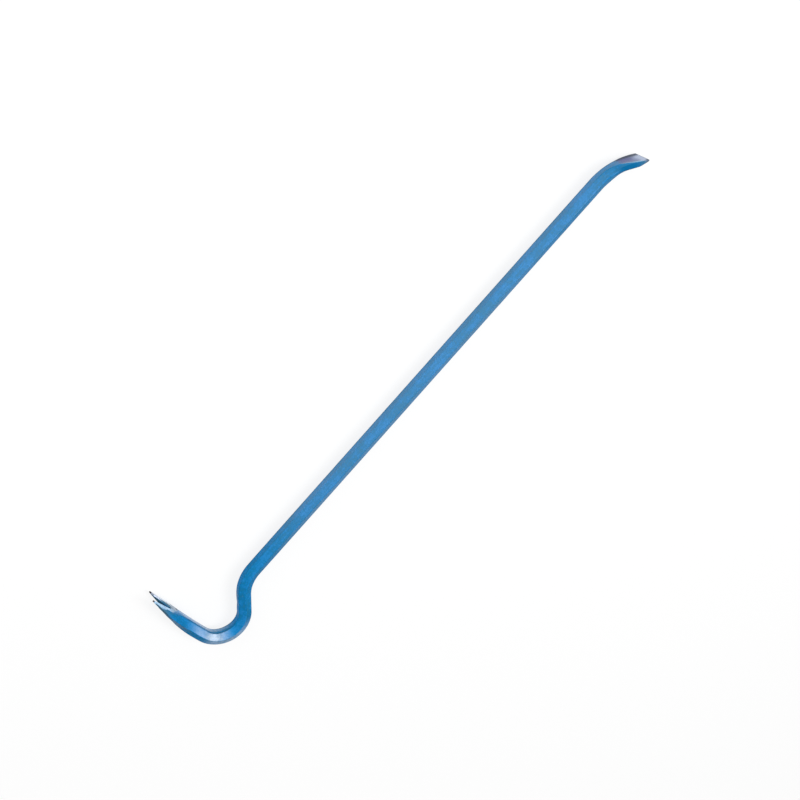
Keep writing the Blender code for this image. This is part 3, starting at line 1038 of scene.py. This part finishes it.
def forged_enamel():
    """Blue enamel, streaked, worn and chipped, with painted shade, sheen and highlights, over steel that is
    bare where the paint ends.
    """
    finish = Finish("forged_enamel")
    where = finish.place()
    at = Spot(*[finish.stored(name) for name in Spot._fields])
    reach = ROUTE_LENGTH - at.along
    near_claw = at.along.fade(*CLAW_END)
    near_chisel = reach.fade(*CHISEL_END)
    flat_in = at.inward.step(*FLAT_INSIDE)
    facing_in = at.inward.step(*INNER_FACES)
    blade_side = at.inward.fade(*BLADE_SIDE_FACES) * reach.fade(*BLADE_SIDE_TO)
    # painted shade along the ridges and outlines
    rim_shade = painted_rim_shade(at)

    mottle = finish.speckle(where, MOTTLE_SCALE, detail=4, roughness=0.6)
    paint, scuffs = enamelled(finish, where, at, mottle)
    paint = tinted(finish, at, reach, paint, flat_in, facing_in, blade_side, rim_shade)
    steel_shows = bared(finish, where, at, near_claw, near_chisel)
    steel = finish.blend(near_chisel, claw_steel(finish, where, at), ground_steel(finish, at, reach))
    rough_paint = PAINT_ROUGHNESS + mottle * MOTTLE_ROUGHNESS + scuffs * SCUFF_ROUGHNESS

    glaze, hook = glazed(finish, where, at, flat_in, facing_in)
    worn_ridge = at.ridge.fade(*RIDGE_WEAR) * near_chisel
    matt = steel_shows.at_least(blade_side)
    coat = glaze * (1 - worn_ridge) * (1 - rim_shade * COAT_LOST_ON_RIMS) * (1 - matt)

    skin_bump = finish.raise_by(finish.speckle(where, PEEL_SCALE, detail=2), PEEL_HEIGHT)
    lumps = finish.speckle(where, LUMP_SCALE) * (1 + hook * HOOK_LUMPS_MORE)
    skin_bump = finish.raise_by(lumps, LUMP_HEIGHT, skin_bump)
    skin_bump = finish.raise_by(1 - steel_shows, PAINT_THICKNESS, skin_bump)

    shader = finish.add(
        "ShaderNodeBsdfPrincipled", {},
        {
            "Base Color": finish.blend(steel_shows, paint, steel),
            "Roughness": rough_paint + (STEEL_ROUGHNESS - rough_paint) * steel_shows,
            "Metallic": steel_shows * STEEL_METAL,
            "Specular IOR Level": UNDER_COAT_GLOSS,
            "Coat Weight": coat,
            "Coat Roughness": COAT_ROUGHNESS,
            "Coat IOR": COAT_IOR,
            "Normal": skin_bump,
        },
    )
    return finish.finish_with(shader)


# Stage and camera
CAMERA_PLACE = (0.09963, 0.87182, 1.23590)
CAMERA_TARGET = (-0.01162, -0.01553, 0.01802)
CAMERA_ROLL = math.radians(137.419)
CAMERA_LENS = 50
CAMERA_SENSOR = 36
LAMP_PLACE = (1.14, -0.72, 2.73)
LAMP_AIM = (-0.41, -0.04, 0.02)
LAMP_SIZE = (1.80, 1.10)
LAMP_ROLL = math.radians(40)
LAMP_POWER = 44.0
FILL_PLACE = (0.10, 1.20, 1.20)
FILL_AIM = (0.10, 0.00, 0.00)
FILL_SIZE = (1.50, 2.00)
FILL_POWER = 13.0
SKY_LIGHT = 0.32
WHITE = (1, 1, 1, 1)
FLOOR_PAINT = 0.80
FLOOR_SHEEN = 0.20
FLOOR_GLOW = 0.83
FLOOR_DROP = 0.0004
STUDIO_SIDES = 64
STUDIO_RADIUS = 12.0
STUDIO_RISE = 4.5


def white_floor():
    """Plain white paint. The camera and reflections see mostly its own glow, so the shadow stays faint."""
    finish = Finish("white_floor")
    rays = finish.add("ShaderNodeLightPath").outputs
    seen = Number(finish, rays["Is Camera Ray"]).at_least(Number(finish, rays["Is Glossy Ray"]))
    seen = seen.at_least(Number(finish, rays["Is Transmission Ray"]))
    paint = finish.add("ShaderNodeBsdfDiffuse", {}, {"Color": (FLOOR_PAINT, FLOOR_PAINT, FLOOR_PAINT, 1)})
    faint = finish.add("ShaderNodeBsdfDiffuse", {}, {"Color": (FLOOR_SHEEN, FLOOR_SHEEN, FLOOR_SHEEN, 1)})
    glow = finish.add("ShaderNodeEmission", {}, {"Color": WHITE, "Strength": FLOOR_GLOW})
    painted_light = finish.add("ShaderNodeAddShader", {}, {0: faint.outputs[0], 1: glow.outputs[0]})
    shader = finish.add("ShaderNodeMixShader", {}, {0: seen, 1: paint.outputs[0], 2: painted_light.outputs[0]})
    return finish.finish_with(shader)


def lay_floor():
    """A round floor that turns up into a low wall, far from the object."""
    bm = bmesh.new()
    bmesh.ops.create_circle(bm, cap_ends=True, segments=STUDIO_SIDES, radius=STUDIO_RADIUS)
    rim = [edge for edge in bm.edges if edge.is_boundary]
    wall = bmesh.ops.extrude_edge_only(bm, edges=rim)["geom"]
    top = [piece for piece in wall if isinstance(piece, bmesh.types.BMVert)]
    bmesh.ops.translate(bm, vec=(0, 0, STUDIO_RISE), verts=top)
    floor = add_object("floor", bm)
    floor.location.z = -FLOOR_DROP
    floor.data.materials.append(white_floor())


def softbox(name, place, aim, size, power, roll=0.0):
    lamp = bpy.data.lights.new(name, "AREA")
    lamp.shape = "RECTANGLE"
    lamp.size, lamp.size_y = size
    lamp.energy = power
    made = bpy.data.objects.new(name, lamp)
    aim_at(made, place, aim, roll)
    bpy.context.scene.collection.objects.link(made)


def aim_at(made, place, aim, roll):
    """Stand a lamp or a camera at a place, turned to what it looks at and rolled about that line."""
    made.location = place
    aimed = (Vector(aim) - made.location).to_track_quat("-Z", "Y")
    made.rotation_mode = "QUATERNION"
    made.rotation_quaternion = aimed @ Euler((0, 0, roll)).to_quaternion()


def light_stage():
    world = bpy.data.worlds.new("studio")
    bpy.context.scene.world = world
    world.use_nodes = True
    sky = world.node_tree.nodes["Background"]
    sky.inputs["Color"].default_value = WHITE
    sky.inputs["Strength"].default_value = SKY_LIGHT
    softbox("lamp", LAMP_PLACE, LAMP_AIM, LAMP_SIZE, LAMP_POWER, LAMP_ROLL)
    softbox("fill", FILL_PLACE, FILL_AIM, FILL_SIZE, FILL_POWER)


def set_camera():
    camera = bpy.data.objects.new("camera", bpy.data.cameras.new("camera"))
    camera.data.lens = CAMERA_LENS
    camera.data.sensor_width = CAMERA_SENSOR
    aim_at(camera, CAMERA_PLACE, CAMERA_TARGET, CAMERA_ROLL)
    bpy.context.scene.collection.objects.link(camera)
    bpy.context.scene.camera = camera


set_camera()
light_stage()
lay_floor()
bar = forge()
survey(bar)
bar.data.materials.clear()
bar.data.materials.append(forged_enamel())
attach(bar, "root")
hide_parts("forged_bar")
bpy.context.scene.view_settings.view_transform = "Standard"
